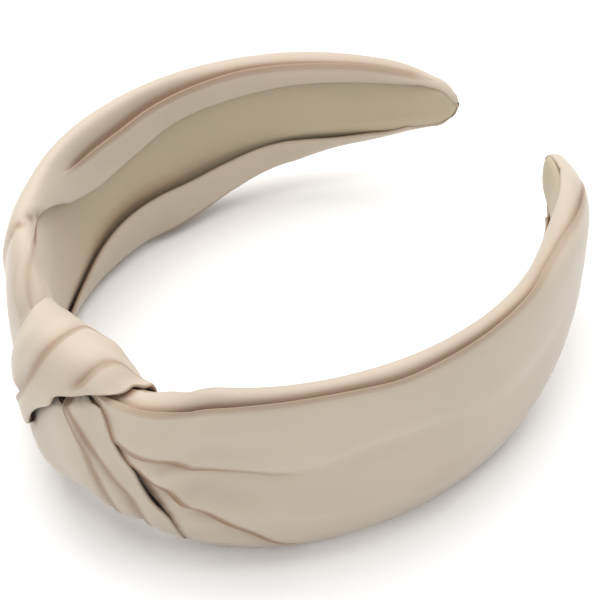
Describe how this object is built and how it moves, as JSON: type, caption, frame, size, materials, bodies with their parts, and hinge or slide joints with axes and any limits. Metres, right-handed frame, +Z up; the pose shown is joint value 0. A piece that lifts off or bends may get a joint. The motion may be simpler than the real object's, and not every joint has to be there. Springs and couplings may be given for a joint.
{
  "type": "knotted headband",
  "caption": "Wide springy headband with a pleated satin cover, a flat twisted knot at the crown and a narrow lining inside.",
  "frame": {"origin": "middle of the bottom of the headband's box, on the surface that it rests on, lying on its edge", "axes": "+Z up along the band's width, +Y from the knot towards the tips, +X towards the wearer's arm that the under loop leads to"},
  "size_m": [0.1348, 0.1618, 0.0571],
  "materials": {
    "satin": "soft matte champagne satin-crepe with a low sheen",
    "lining": "matte olive-beige brushed lining",
    "core": "moulded plastic, off-white",
    "wadding": "soft polyester wadding",
    "tape": "thin clear double-sided tape",
    "thread": "twisted sewing thread"
  },
  "bodies": {
    "crown": {"crown_core": "core", "crown_tape": "tape", "crown_lining": "lining", "crown_padding": "wadding", "knot_over_loop": "satin", "knot_lobe": "satin", "knot_under_loop": "satin", "left_neck": "satin", "right_neck": "satin", "knot_stitch_1": "thread", "knot_stitch_2": "thread", "knot_stitch_3": "thread"},
    "left_arm": {"left_core_arm": "core", "left_tape": "tape", "left_lining": "lining", "left_padding": "wadding", "left_cover": "satin", "left_tip_fold": "satin"},
    "right_arm": {"right_core_arm": "core", "right_tape": "tape", "right_lining": "lining", "right_padding": "wadding", "right_cover": "satin", "right_tip_fold": "satin"}
  },
  "joints": [
    {"name": "left_arm_flex", "type": "hinge", "parent": "crown", "child": "left_arm", "pos_m": [-0.03937, -0.05539, 0.0282], "axis": [0, 0, 1], "range_deg": [-4, 12], "stiffness_Nm_per_rad": 1.3},
    {"name": "right_arm_flex", "type": "hinge", "parent": "crown", "child": "right_arm", "pos_m": [0.03937, -0.05539, 0.0282], "axis": [0, 0, -1], "range_deg": [-4, 12], "stiffness_Nm_per_rad": 1.3}
  ]
}
